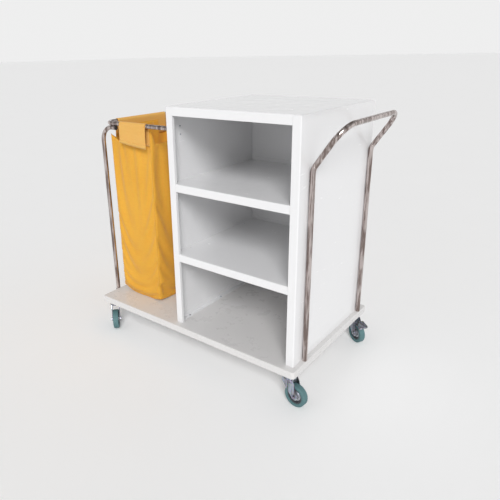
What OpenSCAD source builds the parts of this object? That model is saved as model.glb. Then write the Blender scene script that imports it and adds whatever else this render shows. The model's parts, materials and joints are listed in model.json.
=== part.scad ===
// Housekeeping cart: a folded sheet deck on four swivel casters, an open
// three-bay cabinet with a push handle, and a laundry bag hung from a tube rail.
// +Z up, floor at z = 0, open cabinet front facing -Y, push handle at +X. Millimetres.

/* [Deck] */
// overall deck length along X
deck_l = 1056; // [900:2:1300]
// overall deck depth along Y
deck_d = 640; // [500:2:760]
// height of the deck's top face above the floor
deck_z = 160; // [150:1:200]
// height of the folded lip around the deck
lip_h = 28; // [20:1:40]
// outside bend radius of the deck's folds
fold_r = 4; // [3:0.5:8]
// steel sheet thickness used all over
sheet_t = 1.5; // [1:0.1:3]

/* [Cabinet] */
// left face of the cabinet
cab_x0 = -70; // [-120:1:0]
// right face of the cabinet
cab_x1 = 508; // [440:1:515]
// front face of the cabinet
cab_y0 = -289; // [-310:1:-250]
// back face of the cabinet
cab_y1 = 279; // [250:1:310]
// height of the cabinet's top face above the floor
cab_z1 = 1066; // [950:1:1250]
// width of the two front stiles
stile_w = 32; // [20:1:50]
// height of the fascia under the top
fascia_h = 33; // [20:1:50]
// upper face of the lower shelf
shelf_lo = 478; // [400:1:600]
// upper face of the upper shelf
shelf_hi = 773; // [620:1:900]
// height of the shelves' front lips
shelf_lip = 31; // [20:1:45]

/* [Tubes] */
// outside diameter of the chrome tube
tube_d = 19; // [16:0.5:25]
// tube wall thickness
tube_wall = 1.5; // [1:0.1:2.5]
// front leg of the push handle, along Y
handle_y0 = -221; // [-260:1:-180]
// back leg of the push handle, along Y
handle_y1 = 252; // [200:1:270]
// height of the handle bar's axis
handle_z = 1033; // [950:1:1100]
// bar axis along X
handle_x = 618; // [560:1:650]
// height of the kink in the handle's legs
kink_z = 887; // [800:1:960]
// bend radius of the handle's two upper corners
handle_r = 74; // [50:1:100]
// half width of the bag rail, centre to centre
rail_y = 215; // [180:1:240]
// left end of the bag rail
rail_x = -512; // [-520:1:-440]
// height of the bag rail's axis
rail_z = 970; // [900:1:1020]
// bend radius of the bag rail's two corners
rail_r = 42; // [35:1:80]

/* [Laundry bag] */
// right wall of the bag
bag_x1 = -250; // [-300:1:-150]
// left wall of the bag
bag_x0 = -501; // [-502:1:-420]
// half depth of the bag at its mouth
bag_y = 203.5; // [170:0.5:203.5]
// top edge of the bag's wall between the flaps
bag_top = 916; // [860:1:960]
// cloth thickness with its seams
cloth_t = 2; // [1:0.5:4]
// length of the flaps that hang outside the rail
flap_drop = 94; // [60:1:140]
// left edge of the front and back flaps
flap_x0 = -415; // [-440:1:-380]
// right edge of the front and back flaps
flap_x1 = -254; // [-300:1:-230]

/* [Casters] */
// wheel diameter over the tread
wheel_d = 90; // [75:1:100]
// width of the tyre
tyre_w = 25; // [20:1:27]
// distance from swivel axis to wheel axis
trail = 33; // [20:1:40]
// swivel axis from the cart's middle along X
caster_x = 490; // [440:1:496]
// swivel axis from the cart's middle along Y
caster_y = 281; // [240:1:283]
// way the front right caster points at rest
turn_fr = -6; // [-180:1:180]
// way the back right caster points at rest
turn_br = -30; // [-180:1:180]
// way the front left caster points at rest
turn_fl = -44; // [-180:1:180]

/* [Hidden] */
$fn = 64;
eps = 0.01;
cart_dx = -39.15;
cart_dy = 11.26;
t = sheet_t;
tr = tube_d / 2;
hl = deck_l / 2;
hd = deck_d / 2;
lip_z = deck_z - lip_h;
return_w = 5;
corner_r = 12;
screw_r = 2.2;
handle_screw_z = [316, 626, 846];
rail_h = 20;
chan_z = deck_z - t - rail_h;
chan_w = 60;
leg_x = cab_x1 + 0.4 + tr;
slant_a = atan((handle_x - leg_x) / (handle_z - kink_z));
kink_r = 45;
kink_cut = kink_r * tan(slant_a / 2);
kink_swell = 0.15;
lap = 0.05;
leg_l = kink_z - deck_z - kink_cut;
slant_l = (handle_z - kink_z) / cos(slant_a) - kink_cut - handle_r;
post_x = -hl - 0.3 - tr;
post_r = 62;
post_z0 = lip_z + 4;
stub_z = rail_z - tube_d - 0.05;
stub_l = 28;
bag_r = 12;
plate_z = chan_z;
plate_t = 3;
crown_z = 110;
race_top = plate_z - plate_t - 3.3;
race_r = 23;
pin_r = 6;
axle_r = 4;
axle_z = wheel_d / 2;
leg_in = 15.5;
leg_t = 2.5;
bolt_dx = 20;
bolt_dy = 26;
fit = 0.05;
snug = 0.02;
tyre_r0 = 31;
pivot_x = 16;
pivot_z = 101;
pedal_a = 14;
pedal_w = 23;
corners = [
  [caster_x, -caster_y, turn_fr],
  [caster_x, caster_y, turn_br],
  [-caster_x, -caster_y, turn_fl],
  [-caster_x, caster_y, 0]
];

steel_white = [0.93, 0.93, 0.94];
deck_white = [0.9, 0.89, 0.87];
chrome = [0.78, 0.78, 0.8];
zinc = [0.6, 0.64, 0.7];
rubber = [0.37, 0.55, 0.55];
dark = [0.16, 0.17, 0.19];
cloth = [0.92, 0.68, 0.25];
black = [0.1, 0.1, 0.11];

// ---- shared shapes ----

module place() translate([cart_dx, cart_dy, 0]) children();

// box from its low corner to its high corner
module block(a, b) translate(a) cube(b - a);

// quarter of a ring, in the first quadrant
module quarter_ring(r, w) {
  intersection() {
    difference() {
      circle(r);
      circle(r - w);
    }
    square(r);
  }
}

// hexagonal bolt head or nut blank, lying on z = 0
module hex(across, h) cylinder(d = across / cos(30), h = h, $fn = 6);

// section of the tube, drawn on the XY plane; swell thickens the wall both ways
module ring2d(swell = 0) {
  difference() {
    circle(tr + swell);
    circle(tr - tube_wall - swell);
  }
}

// tube that starts at the origin along +Z; each step is [length, 0, turn] for a
// straight or [radius, angle, turn] for a bend, turned about the tube first
module tube_run(steps, i = 0) {
  if (i < len(steps)) {
    s = steps[i];
    rotate([0, 0, s[2]]) {
      if (s[1] == 0) {
        linear_extrude(s[0]) ring2d();
        translate([0, 0, s[0]]) tube_run(steps, i + 1);
      } else {
        translate([s[0], 0, 0])
          rotate([0, 0, 180])
            rotate([90, 0, 0])
              rotate_extrude(angle = s[1]) translate([s[0], 0]) ring2d();
        translate([s[0] * (1 - cos(s[1])), 0, s[0] * sin(s[1])])
          rotate([0, s[1], 0]) tube_run(steps, i + 1);
      }
    }
  }
}

// ---- deck ----

// folded edge seen end on: x runs out of the deck, y runs up from the lip's foot
module lip2d() {
  translate([-t, 0]) square([t, lip_h - fold_r]);
  translate([-fold_r, lip_h - fold_r]) quarter_ring(fold_r, t);
  translate([-return_w, 0]) square([return_w, t]);
}

module lip_side(len) {
  translate([0, -len / 2, 0])
    rotate([90, 0, 180]) mirror([1, 0, 0]) linear_extrude(len) lip2d();
}

module deck_pan() {
  color(deck_white) place() difference() {
    union() {
      block([-hl + fold_r, -hd + fold_r, deck_z - t], [hl - fold_r, hd - fold_r, deck_z]);
      for (s = [-1, 1]) {
        translate([s * hl, 0, lip_z]) rotate([0, 0, s > 0 ? 0 : 180])
          lip_side(deck_d - 2 * corner_r);
        translate([0, s * hd, lip_z]) rotate([0, 0, s * 90])
          lip_side(deck_l - 2 * corner_r);
      }
      for (sx = [-1, 1]) for (sy = [-1, 1]) {
        translate([sx * (hl - corner_r), sy * (hd - corner_r), lip_z])
          rotate([0, 0, sx > 0 ? (sy > 0 ? 0 : -90) : (sy > 0 ? 90 : 180)])
            rotate_extrude(angle = 90) translate([corner_r, 0]) lip2d();
      }
    }
    for (y = [handle_y0, handle_y1])
      translate([leg_x, y, deck_z - 5]) cylinder(r = 4.5, h = 10);
    for (p = base_points()) translate([p[0], p[1], deck_z - 5]) cylinder(r = 2.6, h = 10);
    for (s = [-1, 1]) for (dy = [-16, 16])
      translate([-hl - 5, s * rail_y + dy, lip_z + lip_h / 2]) rotate([0, 90, 0])
        cylinder(r = screw_r, h = 12);
  }
}

// C-shaped stiffener welded across the deck's underside
module channel(x) {
  w = chan_w / 2;
  color(deck_white) place() difference() {
    translate([x, hd - 8, 0]) rotate([90, 0, 0]) linear_extrude(2 * hd - 16) {
      translate([-w, chan_z]) square([2 * w, 2.5]);
      translate([-w, chan_z]) square([2, rail_h]);
      translate([w - 2, chan_z]) square([2, rail_h]);
      translate([-w, chan_z + rail_h - 2]) square([16, 2]);
      translate([w - 16, chan_z + rail_h - 2]) square([16, 2]);
    }
    if (abs(x) > 100) {
      for (sy = [-1, 1]) for (dx = [-bolt_dx, bolt_dx]) for (dy = [-bolt_dy, bolt_dy])
        translate([x + dx, sy * caster_y + dy, chan_z - 5]) cylinder(r = 4.2, h = 12);
      for (y = [handle_y0, handle_y1])
        translate([leg_x * sign(x), y, chan_z + 10]) cylinder(r = 9, h = 20);
    }
  }
}

module channel_left() channel(-caster_x);

module channel_mid() channel(0);

module channel_right() channel(caster_x);

// ---- cabinet ----

// section of a side panel: skin, front stile, its return and a back flange
module side2d() {
  d = cab_y1 - cab_y0;
  translate([0, fold_r]) square([t, d - fold_r]);
  translate([fold_r, fold_r]) rotate(180) quarter_ring(fold_r, t);
  translate([fold_r, 0]) square([stile_w - fold_r, t]);
  translate([stile_w - t, 0]) square([t, 12]);
  translate([0, d - t]) square([16, t]);
}

module cab_side(s) {
  x = s < 0 ? cab_x0 : cab_x1;
  color(steel_white) place() difference() {
    translate([x, cab_y0, deck_z]) mirror([s < 0 ? 0 : 1, 0, 0])
      linear_extrude(cab_z1 - t - deck_z) side2d();
    if (s < 0) {
      for (y = [-rail_y, rail_y]) for (dz = [-16, 16])
        translate([x - 5, y, rail_z + dz]) rotate([0, 90, 0]) cylinder(r = screw_r, h = 10);
    } else {
      for (y = [handle_y0, handle_y1]) for (z = handle_screw_z)
        translate([x - 5, y, z]) rotate([0, 90, 0]) cylinder(r = 2.6, h = 10);
    }
  }
}

module cab_left() cab_side(-1);

module cab_right() cab_side(1);

module cab_back() {
  color(steel_white) place() difference() {
    block([cab_x0 + t + 0.5, cab_y1 - 2 * t - 0.02, deck_z + 0.2],
      [cab_x1 - t - 0.5, cab_y1 - t - 0.02, cab_z1 - t - 0.1]);
    for (p = rivet_points())
      translate([p[0], cab_y1 - 8, p[1]]) rotate([-90, 0, 0]) cylinder(r = 2.05, h = 12);
  }
}

function rivet_points() = [
  for (x = [cab_x0 + 10, cab_x1 - 10]) for (z = [216 : 200 : 1016]) [x, z]
];

module back_rivets() {
  color(steel_white) place() for (p = rivet_points())
    translate([p[0], cab_y1 - t - 0.02, p[1]]) rotate([90, 0, 0]) {
      cylinder(r = 2, h = t);
      translate([0, 0, t]) cylinder(r1 = 4, r2 = 2.6, h = 1.2);
    }
}

module cab_top() {
  color(steel_white) place() {
    block([cab_x0, cab_y0, cab_z1 - t], [cab_x1, cab_y1, cab_z1]);
    block([cab_x0 + stile_w + 0.2, cab_y0, cab_z1 - fascia_h],
      [cab_x1 - stile_w - 0.2, cab_y0 + t, cab_z1 - t + eps]);
    block([cab_x0 + stile_w + 0.2, cab_y0, cab_z1 - fascia_h],
      [cab_x1 - stile_w - 0.2, cab_y0 + 12, cab_z1 - fascia_h + t]);
  }
}

// shelf pan: tray, front lip with a return, side flanges and a back upstand
module shelf(z) {
  f0 = cab_x0 + stile_w + 0.3;
  f1 = cab_x1 - stile_w - 0.3;
  s0 = cab_x0 + t + 0.2;
  s1 = cab_x1 - t - 0.2;
  y0 = cab_y0 + 12.3;
  y1 = cab_y1 - 2 * t - 0.3;
  color(steel_white) place() difference() {
    union() {
      block([s0, y0, z - t], [s1, y1, z]);
      block([f0, cab_y0 + fold_r, z - t], [f1, y0 + eps, z]);
      translate([f0, cab_y0 + fold_r, z - fold_r]) rotate([90, 0, 90])
        linear_extrude(f1 - f0) mirror([1, 0, 0]) quarter_ring(fold_r, t);
      block([f0, cab_y0, z - shelf_lip], [f1, cab_y0 + t, z - fold_r]);
      block([f0, cab_y0, z - shelf_lip], [f1, cab_y0 + 12, z - shelf_lip + t]);
      block([s0, y0, z - 20], [s0 + t, y1, z]);
      block([s1 - t, y0, z - 20], [s1, y1, z]);
      block([s0, y1 - t, z - t], [s1, y1, z + 14]);
    }
    for (p = bracket_points()) translate([p[0], p[1], z - 5]) cylinder(r = 2.3, h = 10);
  }
}

function bracket_points() = [
  for (x = [cab_x0 + 18, cab_x1 - 18]) for (y = [cab_y0 + 90, cab_y1 - 90]) [x, y]
];

module shelf_upper() shelf(shelf_hi);

module shelf_lower() shelf(shelf_lo);

// one angle under a shelf's end; s turns it towards the cabinet's middle
module bracket(s) {
  mirror([s < 0 ? 0 : 1, 0, 0]) difference() {
    union() {
      block([2 * t + 0.4, -20, -22], [2 * t + 2.2, 20, 0]);
      block([2 * t + 0.4, -20, -2], [30, 20, 0]);
    }
    translate([18, 0, -5]) cylinder(r = 2.3, h = 10);
  }
}

module shelf_brackets() {
  color(zinc) place() for (z = [shelf_lo, shelf_hi]) for (y = [cab_y0 + 90, cab_y1 - 90]) {
    translate([cab_x0, y, z - t - 0.02]) bracket(-1);
    translate([cab_x1, y, z - t - 0.02]) bracket(1);
  }
}

module shelf_screws() {
  color(zinc) place() for (z = [shelf_lo, shelf_hi]) for (p = bracket_points())
    translate([p[0], p[1], z - t - 2.02]) {
      translate([0, 0, -3]) cylinder(r = 4, h = 3);
      cylinder(r = screw_r, h = t + 2.02);
    }
}

function base_points() = [
  for (x = [cab_x0 + 13, cab_x1 - 13]) for (y = [cab_y0 + 70, 0, cab_y1 - 70]) [x, y]
];

module base_angles() {
  color(steel_white) place() for (s = [-1, 1]) {
    x = s < 0 ? cab_x0 : cab_x1;
    translate([x, 0, deck_z]) mirror([s < 0 ? 0 : 1, 0, 0]) difference() {
      union() {
        block([t + 0.02, cab_y0 + 15, 0.02], [t + 20, cab_y1 - 6, 1.52]);
        block([t + 0.02, cab_y0 + 15, 0.02], [t + 1.52, cab_y1 - 6, 20]);
      }
      for (y = [cab_y0 + 70, 0, cab_y1 - 70])
        translate([13, y, -5]) cylinder(r = 2.6, h = 12);
    }
  }
}

module base_bolts() {
  color(zinc) place() for (p = base_points()) translate([p[0], p[1], deck_z]) {
    translate([0, 0, 1.52]) cylinder(r1 = 4.8, r2 = 3, h = 2.6);
    translate([0, 0, -t - 9]) cylinder(r = 2.5, h = t + 9 + 1.6);
  }
}

// ---- push handle ----

module push_handle() {
  color(chrome) place() difference() {
    union() {
      for (y = [handle_y0, handle_y1]) translate([leg_x, y, deck_z]) {
        linear_extrude(leg_l + lap) ring2d();
        translate([kink_r, 0, leg_l]) rotate([90, 0, 180])
          rotate_extrude(angle = slant_a) translate([kink_r, 0]) ring2d(kink_swell);
      }
      translate([leg_x + kink_r * (1 - cos(slant_a)), handle_y0,
        deck_z + leg_l + kink_r * sin(slant_a)]) rotate([0, slant_a, 0])
          translate([0, 0, -lap]) tube_run([
            [slant_l + lap, 0, 0],
            [handle_r, 90, 90],
            [handle_y1 - handle_y0 - 2 * handle_r, 0, 0],
            [handle_r, 90, 0],
            [slant_l + lap, 0, 0]
          ]);
    }
    for (y = [handle_y0, handle_y1]) for (z = handle_screw_z)
      translate([leg_x - tr - 1, y, z]) rotate([0, 90, 0]) cylinder(r = 2.6, h = 5);
  }
}

// plugs inside the feet of the handle, tapped for the bolts under the deck
module handle_plugs() {
  color(dark) place() for (y = [handle_y0, handle_y1])
    translate([leg_x, y, deck_z + 0.02]) difference() {
      cylinder(r = tr - tube_wall, h = 30);
      translate([0, 0, -1]) cylinder(r = 4, h = 26);
    }
}

module handle_bolts() {
  color(zinc) place() for (y = [handle_y0, handle_y1]) translate([leg_x, y, deck_z - t]) {
    translate([0, 0, -5.5]) rotate([0, 0, 30]) hex(13, 5.5);
    cylinder(r = 4, h = 22);
  }
}

module handle_screws() {
  color(zinc) place() for (y = [handle_y0, handle_y1]) for (z = handle_screw_z)
    translate([cab_x1 - t, y, z]) rotate([0, 90, 0]) {
      translate([0, 0, -2.6]) cylinder(r1 = 3, r2 = 4.8, h = 2.6);
      cylinder(r = 2.5, h = t + 0.4 + tube_wall + 1);
    }
}

// ---- bag frame ----

module bag_rail() {
  run = cab_x0 - 0.5 - rail_x - rail_r;
  color(chrome) place() translate([cab_x0 - 0.5, -rail_y, rail_z]) rotate([0, -90, 0])
    tube_run([
      [run, 0, 0],
      [rail_r, 90, 90],
      [2 * rail_y - 2 * rail_r, 0, 0],
      [rail_r, 90, 0],
      [run, 0, 0]
    ]);
}

// flanged sockets that hold the rail's ends on the cabinet's left side
module rail_flanges() {
  color(chrome) place() for (y = [-rail_y, rail_y]) translate([cab_x0 - 0.02, y, rail_z])
    rotate([0, -90, 0]) difference() {
      union() {
        linear_extrude(3) {
          square([32, 18], center = true);
          for (s = [-1, 1]) translate([s * 16, 0]) circle(9);
        }
        cylinder(r = tr + 2.5, h = 16);
      }
      translate([0, 0, 0.45]) cylinder(r = tr + 0.02, h = 20);
      for (s = [-1, 1]) translate([s * 16, 0, -1]) cylinder(r = screw_r, h = 6);
    }
}

module rail_screws() {
  color(zinc) place() for (y = [-rail_y, rail_y]) for (dz = [-16, 16])
    translate([cab_x0 - 3.02, y, rail_z + dz]) rotate([0, 90, 0]) {
      translate([0, 0, -2.2]) cylinder(r1 = 2.2, r2 = 4, h = 2.2);
      cylinder(r = 2.1, h = 8);
    }
}

// bent upright outside the deck's lip; its upper end runs in under the rail
module post(s) {
  color(chrome) place() translate([post_x, s * rail_y, post_z0])
    tube_run([
      [stub_z - post_r - post_z0, 0, 0],
      [post_r, 90, 0],
      [stub_l, 0, 0]
    ]);
}

module post_front() post(-1);

module post_back() post(1);

module post_caps() {
  color(black) place() for (s = [-1, 1]) {
    translate([post_x, s * rail_y, post_z0 - 2]) {
      cylinder(r = tr, h = 1.98);
      cylinder(r = tr - tube_wall, h = 14);
    }
    translate([post_x + post_r + stub_l, s * rail_y, stub_z]) rotate([0, 90, 0]) {
      translate([0, 0, 0.02]) cylinder(r = tr, h = 1.98);
      translate([0, 0, -12]) cylinder(r = tr - tube_wall, h = 13);
    }
  }
}

// half-round saddles that hold the uprights against the deck's lip
module post_saddles() {
  color(chrome) place() for (s = [-1, 1]) translate([-hl - 0.02, s * rail_y, lip_z + 7])
    mirror([1, 0, 0]) difference() {
      linear_extrude(14) difference() {
        union() {
          translate([0, -22]) square([1.8, 44]);
          translate([tr + 0.28, 0]) circle(tr + 1.9);
          translate([0, -tr - 1.9]) square([tr + 0.28, 2 * tr + 3.8]);
        }
        translate([tr + 0.28, 0]) circle(tr + 0.05);
        translate([-5, -tr - 0.05]) square([tr + 5.28, 2 * tr + 0.1]);
        translate([-30, -40]) square([30, 80]);
      }
      for (dy = [-16, 16]) translate([-1, dy, 7]) rotate([0, 90, 0]) cylinder(r = screw_r, h = 4);
    }
}

module saddle_screws() {
  color(zinc) place() for (s = [-1, 1]) for (dy = [-16, 16])
    translate([-hl - 1.84, s * rail_y + dy, lip_z + lip_h / 2]) rotate([0, 90, 0]) {
      translate([0, 0, -2.2]) cylinder(r1 = 2.2, r2 = 4, h = 2.2);
      cylinder(r = 2.1, h = 7);
    }
}

// ---- laundry bag ----

// plan of the bag: x0..x1 by +-y with rounded corners, shrunk by g
module bag2d(x0, x1, y, r, g) {
  translate([x0 + g, -y + r]) square([x1 - x0 - 2 * g, 2 * y - 2 * r]);
  translate([x0 + r, -y + g]) square([x1 - x0 - 2 * r, 2 * y - 2 * g]);
  for (x = [x0 + r, x1 - r]) for (s = [-1, 1]) translate([x, s * (y - r)]) circle(r - g);
}

module laundry_bag() {
  color(cloth) place() difference() {
    translate([0, 0, deck_z + 1]) linear_extrude(bag_top - deck_z - 1)
      bag2d(bag_x0, bag_x1, bag_y, bag_r, 0);
    translate([0, 0, deck_z + 1 + cloth_t]) linear_extrude(bag_top)
      bag2d(bag_x0, bag_x1, bag_y, bag_r, cloth_t);
  }
}

// section of a flap over the rail: wall inside, half turn over the tube, drop outside
module flap2d(drop) {
  r = tr + 0.6 + cloth_t;
  intersection() {
    difference() {
      circle(r);
      circle(r - cloth_t);
    }
    translate([-r, 0]) square([2 * r, r]);
  }
  translate([-r, -drop]) square([cloth_t, drop]);
  translate([r - cloth_t, bag_top - rail_z + 0.3]) square([cloth_t, rail_z - bag_top - 0.3]);
}

module flap_end(s) {
  color(cloth) place() translate([flap_x0, s * rail_y, rail_z])
    rotate([90, 0, 90]) linear_extrude(flap_x1 - flap_x0)
      mirror([s < 0 ? 0 : 1, 0, 0]) flap2d(flap_drop);
}

module flap_front() flap_end(-1);

module flap_back() flap_end(1);

module flap_left() {
  len = 2 * (rail_y - rail_r) - 40;
  color(cloth) place() translate([rail_x, len / 2, rail_z])
    rotate([90, 0, 0]) linear_extrude(len) flap2d(flap_drop);
}

// ---- casters ----

module at_caster(c) place() translate([c[0], c[1], 0]) rotate([0, 0, c[2]]) children();

// bolts and nuts of all four caster plates
module caster_bolts() {
  color(zinc) for (c = corners) place() translate([c[0], c[1], plate_z - plate_t])
    for (dx = [-bolt_dx, bolt_dx]) for (dy = [-bolt_dy, bolt_dy]) translate([dx, dy, 0]) {
      translate([0, 0, -5.3]) hex(12, 5.3);
      cylinder(r = 4, h = 16);
      translate([0, 0, plate_t + 2.52]) difference() {
        hex(12, 6);
        translate([0, 0, -1]) cylinder(r = 4, h = 9);
      }
    }
}

// fixed half of a caster: the plate and its upper race cup
module caster_plate(c) {
  z = plate_z - plate_t;
  color(zinc) place() translate([c[0], c[1], 0]) difference() {
    union() {
      translate([0, 0, z + plate_t / 2]) cube([60, 70, plate_t - 0.04], center = true);
      translate([0, 0, z - 8]) cylinder(r = race_r + 3, h = 8.1);
    }
    translate([0, 0, z - 9]) cylinder(r = race_r + 0.6, h = 6);
    translate([0, 0, z - 20]) cylinder(r = pin_r + snug, h = 40);
    for (dx = [-bolt_dx, bolt_dx]) for (dy = [-bolt_dy, bolt_dy])
      translate([dx, dy, z - 1]) cylinder(r = 4.2, h = plate_t + 2);
  }
}

// kingpin riveted into the plate; the fork hangs and turns on it
module kingpin(c) {
  seat = race_top - 5;
  color(zinc) place() translate([c[0], c[1], 0]) {
    translate([0, 0, crown_z - 6.1]) cylinder(r = 9, h = 6);
    translate([0, 0, crown_z - 0.2]) cylinder(r = pin_r - fit, h = seat - crown_z + 0.3);
    translate([0, 0, seat]) cylinder(r = pin_r, h = plate_z - seat - 0.1);
  }
}

// fork: crown disc, lower race and two tapered legs down to the axle
module fork(c) {
  color(zinc) at_caster(c) difference() {
    union() {
      translate([0, 0, crown_z]) cylinder(r = race_r + 1, h = leg_t);
      translate([0, 0, crown_z]) cylinder(r = race_r, h = race_top - crown_z);
      for (s = [-1, 1]) translate([0, s > 0 ? leg_in + leg_t : -leg_in, 0])
        rotate([90, 0, 0]) linear_extrude(leg_t) {
          polygon([
            [-20, crown_z + leg_t], [24, crown_z + leg_t], [33, crown_z - 12],
            [trail + 11, axle_z + 2], [trail - 11, axle_z - 3], [-22, crown_z - 14]
          ]);
          translate([trail, axle_z]) circle(11.5);
        }
    }
    translate([0, 0, crown_z - 5]) cylinder(r = pin_r, h = 40);
    translate([0, 0, race_top - 6]) cylinder(r = pin_r + 3, h = 10);
    translate([trail, -30, axle_z]) rotate([-90, 0, 0]) cylinder(r = axle_r + snug, h = 60);
    translate([pivot_x, -30, pivot_z]) rotate([-90, 0, 0]) cylinder(r = 3 + snug, h = 60);
  }
}

// axle bolt with its head and nut outside the fork's legs
module axle(c) {
  y = leg_in + leg_t;
  color(zinc) at_caster(c) translate([trail, 0, axle_z]) rotate([-90, 0, 0]) {
    translate([0, 0, -y - 4.5]) hex(12, 4.5);
    translate([0, 0, -y]) cylinder(r = axle_r, h = 2 * y + 6);
    translate([0, 0, y + 0.02]) difference() {
      hex(12, 5);
      translate([0, 0, -1]) cylinder(r = axle_r, h = 9);
    }
  }
}

// wheel centre: hub, web and rim in one moulding
module core(c) {
  color(dark) at_caster(c) translate([trail, 0, axle_z]) rotate([-90, 0, 0])
    rotate_extrude() {
      translate([axle_r + fit, 0.5 - leg_in]) square([11, 2 * leg_in - 1]);
      translate([axle_r + 5, -3]) square([tyre_r0 - axle_r - 6, 6]);
      translate([tyre_r0 - 4, -9.5]) square([4, 19]);
    }
}

module tyre(c) {
  r0 = tyre_r0 + snug;
  r1 = wheel_d / 2;
  w = tyre_w / 2;
  b = 4;
  color(rubber) at_caster(c) translate([trail, 0, axle_z]) rotate([-90, 0, 0])
    rotate_extrude() {
      translate([r0, 1.5 - w]) square([r1 - r0 - b, 2 * w - 3]);
      translate([r0 + 1.5, -w]) square([r1 - r0 - b - 1.5, 2 * w]);
      translate([r1 - b - 1, b - w]) square([b + 1, 2 * w - 2 * b]);
      for (s = [-1, 1]) translate([r1 - b, s * (w - b)]) circle(b);
    }
}

// brake pedal: a barrel between the fork's legs, a tread plate over the wheel and a shoe
module pedal(c) {
  w = leg_in - 0.6;
  color(zinc) at_caster(c) translate([pivot_x, 0, pivot_z]) difference() {
    union() {
      rotate([90, 0, 0]) translate([0, 0, -w]) cylinder(r = 7, h = 2 * w);
      rotate([0, pedal_a, 0]) {
        block([0, 1 - w, 3.6], [30, w - 1, 6.1]);
        block([23, -pedal_w, 3.6], [62, pedal_w, 6.1]);
        block([59.5, -pedal_w, -3], [62, pedal_w, 6.1]);
        block([18, -9, 0.5], [28, 9, 3.8]);
      }
    }
    rotate([-90, 0, 0]) translate([0, 0, -30]) cylinder(r = 3 + fit, h = 60);
  }
}

module pedal_pin(c) {
  y = leg_in + leg_t;
  color(zinc) at_caster(c) translate([pivot_x, 0, pivot_z]) rotate([-90, 0, 0]) {
    translate([0, 0, -y - 1.5]) cylinder(r = 4.5, h = 1.5);
    translate([0, 0, -y]) cylinder(r = 3, h = 2 * y);
    translate([0, 0, y]) cylinder(r = 4.5, h = 1.5);
  }
}

// ---- one module for each piece of each caster ----

module plate_fr() caster_plate(corners[0]);

module kingpin_fr() kingpin(corners[0]);

module fork_fr() fork(corners[0]);

module axle_fr() axle(corners[0]);

module core_fr() core(corners[0]);

module tyre_fr() tyre(corners[0]);

module plate_br() caster_plate(corners[1]);

module kingpin_br() kingpin(corners[1]);

module fork_br() fork(corners[1]);

module axle_br() axle(corners[1]);

module core_br() core(corners[1]);

module tyre_br() tyre(corners[1]);

module pedal_br() pedal(corners[1]);

module pedal_pin_br() pedal_pin(corners[1]);

module plate_fl() caster_plate(corners[2]);

module kingpin_fl() kingpin(corners[2]);

module fork_fl() fork(corners[2]);

module axle_fl() axle(corners[2]);

module core_fl() core(corners[2]);

module tyre_fl() tyre(corners[2]);

module plate_bl() caster_plate(corners[3]);

module kingpin_bl() kingpin(corners[3]);

module fork_bl() fork(corners[3]);

module axle_bl() axle(corners[3]);

module core_bl() core(corners[3]);

module tyre_bl() tyre(corners[3]);

module pedal_bl() pedal(corners[3]);

module pedal_pin_bl() pedal_pin(corners[3]);

deck_pan();
channel_left();
channel_mid();
channel_right();
cab_left();
cab_right();
cab_back();
cab_top();
shelf_upper();
shelf_lower();
shelf_brackets();
shelf_screws();
base_angles();
base_bolts();
back_rivets();
push_handle();
handle_plugs();
handle_bolts();
handle_screws();
bag_rail();
rail_flanges();
rail_screws();
post_front();
post_back();
post_caps();
post_saddles();
saddle_screws();
laundry_bag();
flap_front();
flap_left();
flap_back();
caster_bolts();
plate_fr();
kingpin_fr();
fork_fr();
axle_fr();
core_fr();
tyre_fr();
plate_br();
kingpin_br();
fork_br();
axle_br();
core_br();
tyre_br();
pedal_br();
pedal_pin_br();
plate_fl();
kingpin_fl();
fork_fl();
axle_fl();
core_fl();
tyre_fl();
plate_bl();
kingpin_bl();
fork_bl();
axle_bl();
core_bl();
tyre_bl();
pedal_bl();
pedal_pin_bl();
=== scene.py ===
import json
import math

import bpy
import bmesh
from mathutils import Matrix, Vector, noise


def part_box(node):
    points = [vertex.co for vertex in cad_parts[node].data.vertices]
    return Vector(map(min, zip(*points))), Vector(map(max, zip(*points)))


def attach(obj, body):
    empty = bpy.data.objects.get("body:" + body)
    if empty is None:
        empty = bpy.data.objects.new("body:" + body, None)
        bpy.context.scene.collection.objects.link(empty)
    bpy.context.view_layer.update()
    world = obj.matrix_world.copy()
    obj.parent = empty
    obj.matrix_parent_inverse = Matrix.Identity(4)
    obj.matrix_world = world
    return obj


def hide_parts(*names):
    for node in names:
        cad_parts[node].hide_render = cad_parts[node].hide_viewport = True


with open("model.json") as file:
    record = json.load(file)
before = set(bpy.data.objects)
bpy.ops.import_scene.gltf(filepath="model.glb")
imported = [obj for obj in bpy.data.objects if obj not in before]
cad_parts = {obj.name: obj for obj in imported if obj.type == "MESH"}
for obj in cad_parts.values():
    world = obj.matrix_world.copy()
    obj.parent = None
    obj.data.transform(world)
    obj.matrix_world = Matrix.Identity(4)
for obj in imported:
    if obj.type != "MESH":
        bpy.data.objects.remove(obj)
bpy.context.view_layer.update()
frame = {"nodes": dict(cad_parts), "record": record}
NODES = frame["nodes"]
MM = 0.001


# ---- camera: two metres away, a little above the cart, from its right front ----

CAMERA_PLACE = (1.2366, -1.6460, 1.2498)
CAMERA_AZIMUTH, CAMERA_DIP, CAMERA_ROLL = 38.693, 20.106, -1.244
LENS_MM = 35.95
LENS_SHIFT = (0.0596, -0.0295)
FAR_CLIP = 400.0


def make_camera():
    data = bpy.data.cameras.new("camera")
    data.sensor_width = 36.0
    data.lens = LENS_MM
    data.shift_x, data.shift_y = LENS_SHIFT
    data.clip_end = FAR_CLIP
    camera = bpy.data.objects.new("camera", data)
    bpy.context.scene.collection.objects.link(camera)
    heading = Matrix.Rotation(math.radians(CAMERA_AZIMUTH), 4, "Z")
    tilt = Matrix.Rotation(math.radians(90 - CAMERA_DIP), 4, "X")
    roll = Matrix.Rotation(math.radians(CAMERA_ROLL), 4, "Z")
    camera.matrix_world = Matrix.Translation(CAMERA_PLACE) @ heading @ tilt @ roll
    bpy.context.scene.camera = camera


make_camera()


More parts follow.
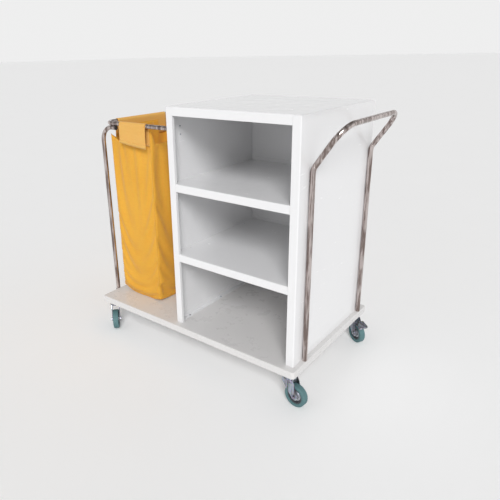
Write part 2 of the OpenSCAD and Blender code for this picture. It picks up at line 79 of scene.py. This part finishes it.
# ---- material helpers ----

# Radii of the softened edges, and of a wheel's plated hub.
PAINT_EDGE = 0.0012
PLATE_EDGE = 0.0006
RUBBER_EDGE = 0.0012
PLASTIC_EDGE = 0.0006
CORE_EDGE = 0.0008
HUB_RADIUS = 0.0215


class Mat:
    """A node material with short calls for the few nodes used here."""

    def __init__(self, name):
        self.mat = bpy.data.materials.new(name)
        self.mat.use_nodes = True
        self.tree = self.mat.node_tree
        self.shader = self.tree.nodes["Principled BSDF"]
        coords = self.tree.nodes.new("ShaderNodeTexCoord")
        self.place = coords.outputs["Object"]

    def set(self, **values):
        for key, value in values.items():
            self.shader.inputs[key.replace("_", " ")].default_value = value
        return self

    def node(self, kind, inputs=None, **props):
        made = self.tree.nodes.new(kind)
        for key, value in props.items():
            setattr(made, key, value)
        for key, value in (inputs or {}).items():
            if hasattr(value, "is_output"):
                self.tree.links.new(value, made.inputs[key])
            else:
                made.inputs[key].default_value = value
        return made

    def stretched(self, scale):
        return self.node("ShaderNodeMapping", {"Vector": self.place, "Scale": scale}).outputs[0]

    def noise(self, scale, detail=4.0, rough=0.55, where=None):
        made = self.node("ShaderNodeTexNoise", {
            "Vector": where or self.place, "Scale": scale, "Detail": detail, "Roughness": rough})
        return made.outputs["Fac"]

    def ramp(self, fac, stops):
        made = self.node("ShaderNodeValToRGB", {"Fac": fac})
        ends = made.color_ramp.elements
        while len(ends) < len(stops):
            ends.new(0.5)
        for end, (at, value) in zip(ends, stops):
            end.position = at
            end.color = (*value, 1.0) if hasattr(value, "__len__") else (value, value, value, 1.0)
        return made.outputs["Color"]

    def mix(self, fac, a, b, blend="MIX"):
        made = self.node("ShaderNodeMix", data_type="RGBA", blend_type=blend)
        for socket, value in ((made.inputs[0], fac), (made.inputs[6], a), (made.inputs[7], b)):
            if hasattr(value, "is_output"):
                self.tree.links.new(value, socket)
            elif hasattr(value, "__len__"):
                socket.default_value = (*value, 1.0)
            else:
                socket.default_value = value
        return made.outputs[2]

    def math(self, operation, a, b=0.0):
        made = self.node("ShaderNodeMath", operation=operation)
        for socket, value in zip(made.inputs, (a, b)):
            if hasattr(value, "is_output"):
                self.tree.links.new(value, socket)
            else:
                socket.default_value = value
        return made.outputs[0]

    def link(self, socket, value):
        self.tree.links.new(value, self.shader.inputs[socket])

    def bump(self, height, distance, strength=1.0, normal=None):
        values = {"Height": height, "Distance": distance, "Strength": strength}
        if normal is not None:
            values["Normal"] = normal
        return self.node("ShaderNodeBump", values).outputs["Normal"]

    def soft_edges(self, radius):
        return self.node("ShaderNodeBevel", {"Radius": radius}, samples=4).outputs["Normal"]


def scaled(colour, factors):
    return tuple(c * f for c, f in zip(colour, factors))


def painted(name, colour, roughness, peel, soil, coat=0.0):
    """Sprayed enamel on sheet steel: orange peel, faint soiling, scuffed gloss."""
    m = Mat(name).set(Metallic=0.0, IOR=1.5, Coat_Weight=coat, Coat_Roughness=0.08)
    cloud = m.noise(3.1, 5.0, 0.6)
    specks = m.noise(55.0, 3.0, 0.7)
    scuff = m.noise(14.0, 6.0, 0.7, m.stretched((1.0, 1.0, 6.0)))
    dirt = m.ramp(m.math("MULTIPLY", cloud, specks), [(0.05, 1.0), (0.6, 0.0)])
    soiled = scaled(colour, (0.72, 0.69, 0.64))
    m.link("Base Color", m.mix(m.math("MULTIPLY", dirt, soil), colour, soiled))
    m.link("Roughness", m.ramp(scuff, [(0.35, roughness * 0.82), (0.68, roughness * 1.25)]))
    fine = m.bump(m.noise(420.0, 2.0, 0.5), 0.00012, peel, m.soft_edges(PAINT_EDGE))
    m.link("Normal", m.bump(m.noise(9.0, 2.0, 0.4), 0.0006, 0.12, fine))
    return m.mat


def plated(name, colour, roughness, smear, spangle=0.0):
    """Chrome or zinc plate over steel: hazy smears, spangle, and dark upright streaks of painted
    reflection.
    """
    m = Mat(name).set(Metallic=1.0)
    haze = m.noise(24.0, 5.0, 0.62)
    lines = m.noise(110.0, 4.0, 0.6, m.stretched((1.0, 1.0, 0.08)))
    m.link("Roughness", m.ramp(haze, [(0.35, roughness), (0.72, roughness + smear)]))
    # Painted reflection: dark upright streaks mixed into the colour stand in for reflected surroundings;
    # the same noise also bumps the surface.
    reflection_dark = scaled(colour, (0.3, 0.25, 0.23))
    tint = m.mix(m.ramp(lines, [(0.43, 0.9), (0.58, 0.0)]), colour, reflection_dark)
    if spangle:
        cells = m.node("ShaderNodeTexVoronoi", {"Vector": m.place, "Scale": 260.0}).outputs["Color"]
        tint = m.mix(spangle, tint, cells, "SOFT_LIGHT")
    m.link("Base Color", tint)
    m.link("Normal", m.bump(lines, 0.00008, 0.35, m.soft_edges(PLATE_EDGE)))
    return m.mat


def moulded_rubber(name, colour):
    """Grey-green tyre rubber: paler dust patches and fine pores."""
    m = Mat(name).set(IOR=1.45, Specular_IOR_Level=0.35)
    dust = m.ramp(m.noise(38.0, 6.0, 0.7), [(0.38, 0.0), (0.72, 1.0)])
    pale = tuple(min(1.0, c * 1.35 + 0.03) for c in colour)
    m.link("Base Color", m.mix(m.math("MULTIPLY", dust, 0.5), colour, pale))
    m.link("Roughness", m.ramp(m.noise(60.0), [(0.3, 0.5), (0.7, 0.78)]))
    pores = m.bump(m.noise(900.0, 2.0, 0.6), 0.00015, 0.6, m.soft_edges(RUBBER_EDGE))
    m.link("Normal", m.bump(m.noise(70.0, 3.0), 0.0003, 0.3, pores))
    return m.mat


def plastic(name, colour):
    """Moulded plastic with a fine spark-eroded grain."""
    m = Mat(name).set(IOR=1.5)
    grain = m.noise(700.0, 2.0, 0.5)
    m.link("Base Color", m.mix(m.noise(45.0), colour, tuple(c * 1.8 for c in colour)))
    m.link("Roughness", m.ramp(grain, [(0.3, 0.38), (0.7, 0.56)]))
    m.link("Normal", m.bump(grain, 0.00012, 0.5, m.soft_edges(PLASTIC_EDGE)))
    return m.mat


def woven(name, colour, shade, pitch=0.0011):
    """Plain-weave coated cloth: crossing threads, slubs, creases and sun-faded patches."""
    m = Mat(name).set(IOR=1.42, Specular_IOR_Level=0.25, Sheen_Weight=0.25, Sheen_Roughness=0.4,
                      Subsurface_Weight=0.08, Subsurface_Scale=0.01)
    apart = m.node("ShaderNodeSeparateXYZ", {"Vector": m.place})
    across = m.math("ADD", apart.outputs[0], apart.outputs[1])
    turn = 2 * math.pi / pitch
    warp = m.math("SINE", m.math("MULTIPLY", across, turn))
    weft = m.math("SINE", m.math("MULTIPLY", apart.outputs[2], turn))
    weave = m.math("MULTIPLY", warp, weft)
    slub = m.noise(30.0, 5.0, 0.65, m.stretched((1.0, 1.0, 12.0)))
    fade = m.noise(4.5, 4.0, 0.6)
    patch = m.ramp(m.math("MULTIPLY", m.math("ADD", slub, fade), 0.5), [(0.36, 0.0), (0.66, 1.0)])
    tone = m.mix(patch, shade, colour)
    threads = m.ramp(m.math("ADD", m.math("MULTIPLY", weave, 0.5), 0.5), [(0.0, 0.93), (1.0, 1.0)])
    m.link("Base Color", m.mix(0.45, tone, threads, "MULTIPLY"))
    m.link("Roughness", m.ramp(slub, [(0.3, 0.62), (0.7, 0.86)]))
    fine = m.bump(weave, 0.00012, 0.22)
    m.link("Normal", m.bump(m.noise(11.0, 5.0, 0.6, m.stretched((1.0, 1.0, 0.35))), 0.004, 0.28, fine))
    return m.mat


DECK_PAINT = painted("deck_enamel", (0.69, 0.68, 0.675), 0.3, 0.5, 0.08)
CABINET_PAINT = painted("cabinet_enamel", (0.80, 0.80, 0.81), 0.22, 0.35, 0.06, coat=0.3)
# Chrome is a grey metal; the brown warmth of this colour is painted reflection of the surroundings.
CHROME = plated("chrome_plate", (0.62, 0.55, 0.53), 0.06, 0.1)
ZINC = plated("zinc_plate", (0.46, 0.50, 0.58), 0.3, 0.18, spangle=0.3)
RUBBER = moulded_rubber("tyre_rubber", (0.085, 0.17, 0.18))
CAP = plastic("black_cap", (0.02, 0.02, 0.022))
CLOTH = woven("bag_cloth", (0.77, 0.4, 0.052), (0.7, 0.34, 0.038))
FLAP_CLOTH = woven("flap_cloth", (0.78, 0.45, 0.13), (0.73, 0.39, 0.09))
HEM_CLOTH = woven("hem_tape", (0.74, 0.36, 0.045), (0.66, 0.3, 0.03), pitch=0.0016)
THREAD = woven("sewing_thread", (0.88, 0.6, 0.2), (0.8, 0.5, 0.14), pitch=0.0006)

SLOT_LOOK = {
    "deck_paint": DECK_PAINT, "cabinet_paint": CABINET_PAINT, "chrome": CHROME,
    "zinc": ZINC, "wheel_centre": ZINC, "tyre": RUBBER, "cap": CAP, "cloth": CLOTH,
}


def wheel_centre(name, node):
    """Near-black web and rim round a pale plated hub."""
    low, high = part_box(node)
    m = Mat(name)
    away = m.node("ShaderNodeVectorMath", {0: m.place, 1: (low + high) / 2}, operation="DISTANCE")
    hub = m.math("LESS_THAN", away.outputs["Value"], HUB_RADIUS)
    grime = m.noise(70.0, 5.0, 0.65)
    web = m.mix(grime, (0.035, 0.038, 0.045), (0.08, 0.085, 0.095))
    metal = m.mix(grime, (0.42, 0.44, 0.48), (0.62, 0.63, 0.68))
    m.link("Base Color", m.mix(hub, web, metal))
    m.link("Metallic", m.math("MULTIPLY", hub, 0.85))
    m.link("Roughness", m.ramp(grime, [(0.3, 0.32), (0.7, 0.55)]))
    m.link("Normal", m.bump(m.noise(500.0, 2.0), 0.0001, 0.4, m.soft_edges(CORE_EDGE)))
    return m.mat


def dress_cad_nodes():
    for part in frame["record"]["subparts"]:
        name = part["node"]
        if name.startswith("core_"):
            look = wheel_centre("wheel_centre" + name.removeprefix("core"), name)
        else:
            look = SLOT_LOOK[part["material_slot"]]
        mesh = NODES[name].data
        mesh.materials.clear()
        mesh.materials.append(look)


dress_cad_nodes()


# ---- mesh helpers ----

def add_piece(name, mesh, look, body):
    piece = bpy.data.objects.new(name, mesh)
    bpy.context.scene.collection.objects.link(piece)
    mesh.materials.append(look)
    for face in mesh.polygons:
        face.use_smooth = True
    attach(piece, body)
    return piece


def grid_mesh(name, rows, closed=False):
    """Quads over rows of points; closed joins each row's end to its start."""
    mesh = bpy.data.meshes.new(name)
    wide = len(rows[0])
    points = [p for row in rows for p in row]
    faces = []
    for j in range(len(rows) - 1):
        for i in range(wide if closed else wide - 1):
            k = (i + 1) % wide
            faces.append((j * wide + i, j * wide + k, (j + 1) * wide + k, (j + 1) * wide + i))
    mesh.from_pydata([tuple(p) for p in points], [], faces)
    mesh.update()
    return mesh


def thicken(piece, thickness):
    shell = piece.modifiers.new("shell", "SOLIDIFY")
    shell.thickness = thickness
    shell.offset = 0.0


def swept(name, path, radius, closed=False, sides=8):
    """Round cord along a path."""
    rows = []
    count = len(path)
    for i, p in enumerate(path):
        after = path[(i + 1) % count] if closed or i < count - 1 else p
        before = path[i - 1] if closed or i > 0 else p
        along = (after - before).normalized()
        side = along.cross(Vector((0, 0, 1)))
        if side.length < 0.1:
            side = along.cross(Vector((1, 0, 0)))
        side.normalize()
        up = side.cross(along)
        rows.append([p + (side * math.cos(a) + up * math.sin(a)) * radius
                     for a in (2 * math.pi * k / sides for k in range(sides))])
    if closed:
        rows.append(rows[0])
    return grid_mesh(name, rows, closed=True)


def smoothstep(x):
    x = max(0.0, min(1.0, x))
    return x * x * (3 - 2 * x)


# ---- laundry bag: a lofted, sagging shell with raised bands that fold over the rails ----

BAG_LO, BAG_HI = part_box("laundry_bag")
RAIL_LO, RAIL_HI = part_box("bag_rail")
FRONT_LO, FRONT_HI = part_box("flap_front")
LEFT_LO, LEFT_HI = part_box("flap_left")
TUBE_R = (RAIL_HI.z - RAIL_LO.z) / 2
RAIL_Z = (RAIL_HI.z + RAIL_LO.z) / 2

# Cloth thicknesses, and the height of the bag's edge between its raised bands.
CLOTH_T = 1.4 * MM
HEM_T = 0.7 * MM
NOTCH_Z = RAIL_Z - 78 * MM

# Bag: gap to its CAD box, depth of its folds, and how far its foot's front corners lift.
BAG_INSET = 0.5 * MM
CORNER_RADIUS = 9 * MM
FOLD_PUSH = 8.5 * MM
FOOT_RIPPLE = 2.2 * MM
LEFT_LIFT, RIGHT_LIFT = 23 * MM, 9 * MM
EAR_RISE, CORNER_PEAK = 56 * MM, 26 * MM

# Bag mesh: the foot's rings as shares of its outline, points round it and rows up it.
FOOT_RINGS = (0.0, 0.25, 0.5, 0.75, 0.93)
BAG_ROUND, BAG_UP = 176, 84

# Flaps: gap to the tube, trim at each end, tuck inside the bag, outward sway and slant.
FLAP_GAP = 1.5 * MM
FLAP_TRIM = 1 * MM
FLAP_TUCK = 6 * MM
FLAP_STEPS = 34
FLAP_SWAY = 1.5 * MM
FRONT_SLANT, OTHER_SLANT = 0.17, 0.05


def around(s, inset, radius=CORNER_RADIUS):
    """Point of the bag's plan at s in 0..4: front, right, back, left wall, one unit each."""
    x0, x1 = BAG_LO.x + inset, BAG_HI.x - inset
    y0, y1 = BAG_LO.y + inset, BAG_HI.y - inset
    side, f = int(s) % 4, s - int(s)
    ends = [(x0, y0), (x1, y0), (x1, y1), (x0, y1)]
    a, b = Vector(ends[side]), Vector(ends[(side + 1) % 4])
    along = (b - a).normalized()
    length = (b - a).length
    inward = Vector((-along.y, along.x))
    p = a + along * f * length
    near = min(f, 1 - f) * length
    if near < radius:
        p += inward * (radius - math.sqrt(max(0.0, radius ** 2 - (radius - near) ** 2))) * 0.42
    return p, inward, f, side


def bag_point(s, v):
    """s runs round the bag, v from 0 at the foot to 1 at the notched top edge."""
    p, inward, f, side = around(s, BAG_INSET)
    middle = math.sin(math.pi * f)
    z = BAG_LO.z + CLOTH_T + (NOTCH_Z - BAG_LO.z) * v
    hang = math.sin(math.pi * min(1.0, v * 1.02))
    folds = 0.0
    for k, (rate, size) in enumerate(((2.6, 1.0), (5.3, 0.55), (9.1, 0.3))):
        folds += size * noise.noise(Vector((s * rate + 3.7 * k, v * 1.3 + 0.35 * k, 2.3 * side)))
    push = FOLD_PUSH * folds * (0.3 + 0.7 * hang) * middle ** 0.5
    low = math.exp(-(v / 0.13) ** 2)
    push += FOOT_RIPPLE * low * math.sin(s * 11.0 + 0.6) * middle
    left = math.exp(-(f / 0.17) ** 2) if side == 0 else math.exp(-((1 - f) / 0.17) ** 2)
    right = math.exp(-((1 - f) / 0.12) ** 2) if side == 0 else math.exp(-(f / 0.12) ** 2)
    if side in (0, 3):
        z += low * LEFT_LIFT * left
    if side in (0, 1):
        z += low * RIGHT_LIFT * right
    p = p + inward * push
    return Vector((p.x, p.y, z))


def ear(f, start, end, slope=0.06):
    """1 between start and end, falling to 0 over slope outside them."""
    return smoothstep((f - start + slope) / slope) * (1 - smoothstep((f - end) / slope))


def bag_top(s):
    """How far above the notch line the top edge rises at s."""
    f, side = s - int(s), int(s) % 4
    rise, peak = EAR_RISE, CORNER_PEAK
    length = BAG_HI.x - BAG_LO.x
    depth = BAG_HI.y - BAG_LO.y
    if side in (0, 2):
        f = f if side == 0 else 1 - f
        start = (FRONT_LO.x - BAG_LO.x) / length
        return max(rise * ear(f, start - 0.03, 1.0), peak * max(0.0, 1 - f / 0.21))
    if side == 1:
        return rise * (ear(f, -1.0, 0.012, 0.05) + ear(f, 0.988, 2.0, 0.05))
    start = (LEFT_LO.y - BAG_LO.y) / depth
    return max(rise * ear(f, start, 1 - start, 0.05), peak * max(0.0, 1 - min(f, 1 - f) / 0.1))


def settle(piece, held, frames=22, slack=0.016, reach=8 * MM):
    """Lets the cloth hang and crumple by reach at most; held is each vertex's pin weight."""
    scene = bpy.context.scene
    group = piece.vertex_groups.new(name="held")
    for i, weight in enumerate(held):
        group.add([i], weight, "REPLACE")
    cloth = piece.modifiers.new("settle", "CLOTH")
    cloth.point_cache.frame_start = 1
    cloth.point_cache.frame_end = frames
    cloth.collision_settings.use_collision = False
    values = cloth.settings
    values.quality = 5
    values.mass = 0.2
    values.tension_stiffness = 14
    values.compression_stiffness = 14
    values.shear_stiffness = 5
    values.bending_stiffness = 6.0
    values.vertex_group_mass = "held"
    values.shrink_min = -slack
    for at in range(1, frames + 1):
        scene.frame_set(at)
    seen = piece.evaluated_get(bpy.context.evaluated_depsgraph_get()).to_mesh()
    settled = [v.co.copy() for v in seen.vertices]
    piece.modifiers.remove(cloth)
    piece.vertex_groups.clear()
    for vertex, end in zip(piece.data.vertices, settled):
        move = end - vertex.co
        if move.length > reach:
            move *= reach / move.length
        vertex.co += move
    scene.frame_set(1)


def make_bag():
    rows = []
    foot = [bag_point(4 * i / BAG_ROUND, 0.0) for i in range(BAG_ROUND)]
    centre = sum(foot, Vector()) / BAG_ROUND
    floor_z = BAG_LO.z + CLOTH_T
    for t in FOOT_RINGS:
        row = []
        for p in foot:
            q = centre.lerp(p, max(t, 0.004))
            lift = 1.2 * MM * noise.noise(Vector((q.x * 22, q.y * 22, 0.4)))
            q.z = floor_z + (p.z - floor_z) * t ** 6 + max(0.0, lift)
            row.append(q)
        rows.append(row)
    held = [1.0] * (len(FOOT_RINGS) * BAG_ROUND)
    for j in range(BAG_UP + 1):
        v = j / BAG_UP
        row = []
        for i in range(BAG_ROUND):
            s = 4 * i / BAG_ROUND
            p = bag_point(s, v)
            p.z += bag_top(s) * smoothstep((v - 0.84) / 0.16)
            row.append(p)
            f = s - int(s)
            corner = math.exp(-(min(f, 1 - f) / 0.03) ** 2)
            held.append(1.0 if j in (0, BAG_UP) else 0.6 * corner)
        rows.append(row)
    bag = add_piece("laundry_bag_shell", grid_mesh("laundry_bag_shell", rows, closed=True),
                    CLOTH, "cart")
    settle(bag, held)
    points = [v.co.copy() for v in bag.data.vertices]
    thicken(bag, CLOTH_T)
    return bag, [points[k:k + BAG_ROUND] for k in range(0, len(points), BAG_ROUND)]


def bag_trim(rows):
    """Piping round the foot, a bound top edge and the four upright seams."""
    wall = rows[len(FOOT_RINGS):]
    foot = wall[0]
    centre = sum(foot, Vector()) / len(foot)
    piping = [p + (p - centre).normalized() * 0.6 * MM + Vector((0, 0, 1.2 * MM)) for p in foot]
    pieces = [add_piece("bag_foot_piping", swept("bag_foot_piping", piping, 1.5 * MM, closed=True),
                        CLOTH, "cart")]
    rim = [p.copy() for p in rows[-1]]
    pieces.append(add_piece("bag_top_binding", swept("bag_top_binding", rim, 1.3 * MM, closed=True),
                            HEM_CLOTH, "cart"))
    for k in range(4):
        i = k * BAG_ROUND // 4
        seam = [row[i] + (row[i] - Vector((centre.x, centre.y, row[i].z))).normalized() * 0.3 * MM
                for row in wall]
        name = "bag_seam_%d" % (k + 1)
        pieces.append(add_piece(name, swept(name, seam, 0.9 * MM, sides=6), CLOTH, "cart"))
    return pieces


def flap_profile(drop, inner_drop, sway):
    """Across the rail, as (out, up) from the tube's axis: inside wall, over the tube, outside drop."""
    r = TUBE_R + FLAP_GAP
    inside = [(-r, -inner_drop * (1 - k / 8)) for k in range(8)]
    over = [(-r * math.cos(a), r * math.sin(a)) for a in (math.pi * k / 12 for k in range(13))]
    outside = [(r + sway * math.sin(0.5 * math.pi * k / 12), -drop * k / 12) for k in range(1, 13)]
    return inside + over + outside


def make_flap(name, start, end, outward, drop, seed, sway, slant):
    """A band sewn to the bag's wall, over the rail from start to end."""
    profile = flap_profile(drop, RAIL_Z - NOTCH_Z + FLAP_TUCK, sway)
    rows = []
    for j in range(FLAP_STEPS + 1):
        t = j / FLAP_STEPS
        at = start.lerp(end, t)
        row = []
        for k, (out, up) in enumerate(profile):
            hang = max(0.0, -up) / drop if out > 0 else 0.0
            ripple = noise.noise(Vector((t * 3.3 + seed, hang * 1.7, seed))) * 3.0 * MM * hang
            edge = 1 - abs(2 * t - 1)
            curl = 1.6 * MM * hang * (1 - smoothstep(edge * 9))
            sag = 1.8 * MM * hang * math.sin(math.pi * t) - drop * slant * hang * (1 - t)
            tuck = noise.noise(Vector((t * 5.0, up * 20, seed + 4))) * 1.2 * MM if out < 0 else 0.0
            p = at + outward * (out + max(-0.4 * MM, ripple + curl) + tuck) + Vector((0, 0, up - sag))
            row.append(p)
        rows.append(row)
    flap = add_piece(name, grid_mesh(name, rows), FLAP_CLOTH, "cart")
    thicken(flap, CLOTH_T)
    return flap, rows


def flap_trim(name, rows, outward):
    """A turned hem along the flap's free edge and two rows of lockstitch."""
    hem_rows = []
    for row in rows:
        foot = row[-1]
        above = row[-3]
        lift = outward * 1.5 * MM
        hem_rows.append([foot + lift * 0.2, foot + lift, foot.lerp(above, 0.5) + lift, above + lift,
                         above + lift * 0.25])
    hem = add_piece(name + "_hem", grid_mesh(name + "_hem", hem_rows), FLAP_CLOTH, "cart")
    thicken(hem, HEM_T)
    stitches = bmesh.new()
    for share in (0.12, 0.88):
        line = [row[-1].lerp(row[-3], share) + outward * 2.1 * MM for row in rows]
        add_stitches(stitches, line, outward)
    mesh = bpy.data.meshes.new(name + "_stitches")
    stitches.to_mesh(mesh)
    stitches.free()
    sewn = add_piece(name + "_stitches", mesh, THREAD, "cart")
    return [hem, sewn]


def add_stitches(into, line, outward, pitch=3.6 * MM, length=2.5 * MM, radius=0.35 * MM):
    """Short rounded dashes, evenly spaced along a line of points."""
    travelled = 0.0
    due = pitch / 2
    for a, b in zip(line, line[1:]):
        step = (b - a).length
        along = (b - a).normalized()
        side = along.cross(outward).normalized()
        while due <= travelled + step:
            mid = a + along * (due - travelled)
            rings = []
            for at, swell in ((-0.5, 0.4), (-0.32, 1.0), (0.32, 1.0), (0.5, 0.4)):
                rings.append([into.verts.new(
                    mid + along * length * at
                    + (side * math.cos(q) + outward * math.sin(q)) * radius * swell)
                    for q in (math.pi / 3 * k for k in range(6))])
            for r0, r1 in zip(rings, rings[1:]):
                for k in range(6):
                    into.faces.new((r0[k], r0[(k + 1) % 6], r1[(k + 1) % 6], r1[k]))
            into.faces.new(rings[0][::-1])
            into.faces.new(rings[-1])
            due += pitch
        travelled += step


def make_all_cloth():
    bag, rows = make_bag()
    trim = bag_trim(rows)
    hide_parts("laundry_bag")
    rail_y0, rail_y1 = RAIL_LO.y + TUBE_R, RAIL_HI.y - TUBE_R
    rail_x = RAIL_LO.x + TUBE_R
    x0, x1 = FRONT_LO.x + FLAP_TRIM, FRONT_HI.x - FLAP_TRIM
    y0, y1 = LEFT_LO.y + FLAP_TRIM, LEFT_HI.y - FLAP_TRIM
    drop = RAIL_Z - FRONT_LO.z - FLAP_TRIM
    runs = {
        "flap_front": (Vector((x0, rail_y0, RAIL_Z)), Vector((x1, rail_y0, RAIL_Z)), Vector((0, -1, 0))),
        "flap_back": (Vector((x1, rail_y1, RAIL_Z)), Vector((x0, rail_y1, RAIL_Z)), Vector((0, 1, 0))),
        "flap_left": (Vector((rail_x, y1, RAIL_Z)), Vector((rail_x, y0, RAIL_Z)), Vector((-1, 0, 0))),
    }
    for seed, (node, (start, end, outward)) in enumerate(runs.items()):
        slant = FRONT_SLANT if node == "flap_front" else OTHER_SLANT
        flap, flap_rows = make_flap(node + "_cloth", start, end, outward, drop,
                                    1.7 + 3.1 * seed, FLAP_SWAY, slant)
        extra = flap_trim(node + "_cloth", flap_rows, outward)
        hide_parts(node)


make_all_cloth()


# ---- floor and light ----

FLOOR_REACH = 120.0


def make_floor():
    lines = (-FLOOR_REACH, 0.0, FLOOR_REACH)
    rows = [[Vector((x, y, 0.0)) for x in lines] for y in lines]
    floor = bpy.data.objects.new("floor", grid_mesh("floor", rows))
    bpy.context.scene.collection.objects.link(floor)
    m = Mat("studio_floor").set(Roughness=0.9)
    m.link("Base Color", m.mix(m.noise(2.0), (0.96, 0.96, 0.96), (0.98, 0.98, 0.98)))
    floor.data.materials.append(m.mat)


def soft_sun(azimuth, elevation, strength, spread):
    """A wide, even light from the cart's right front; angles in degrees."""
    data = bpy.data.lights.new("key", "SUN")
    data.energy = strength
    data.angle = math.radians(spread)
    lamp = bpy.data.objects.new("key", data)
    bpy.context.scene.collection.objects.link(lamp)
    lamp.rotation_euler = (math.radians(90 - elevation), 0.0, math.radians(90 + azimuth))


def make_world():
    """Pale all round at eye level, dimmer overhead."""
    world = bpy.data.worlds.new("studio")
    bpy.context.scene.world = world
    world.use_nodes = True
    tree = world.node_tree
    back = tree.nodes["Background"]
    coords = tree.nodes.new("ShaderNodeTexCoord")
    apart = tree.nodes.new("ShaderNodeSeparateXYZ")
    ramp = tree.nodes.new("ShaderNodeValToRGB")
    tree.links.new(coords.outputs["Generated"], apart.inputs[0])
    tree.links.new(apart.outputs[2], ramp.inputs["Fac"])
    tree.links.new(ramp.outputs["Color"], back.inputs["Color"])
    ends = ramp.color_ramp.elements
    ends[0].position, ends[0].color = 0.2, (0.86, 0.86, 0.86, 1.0)
    ends[1].position, ends[1].color = 0.6, (0.36, 0.36, 0.36, 1.0)
    back.inputs["Strength"].default_value = 1.0


make_floor()
make_world()
soft_sun(azimuth=-52.0, elevation=35.0, strength=2.15, spread=22.0)

bpy.context.scene.view_settings.view_transform = "Standard"
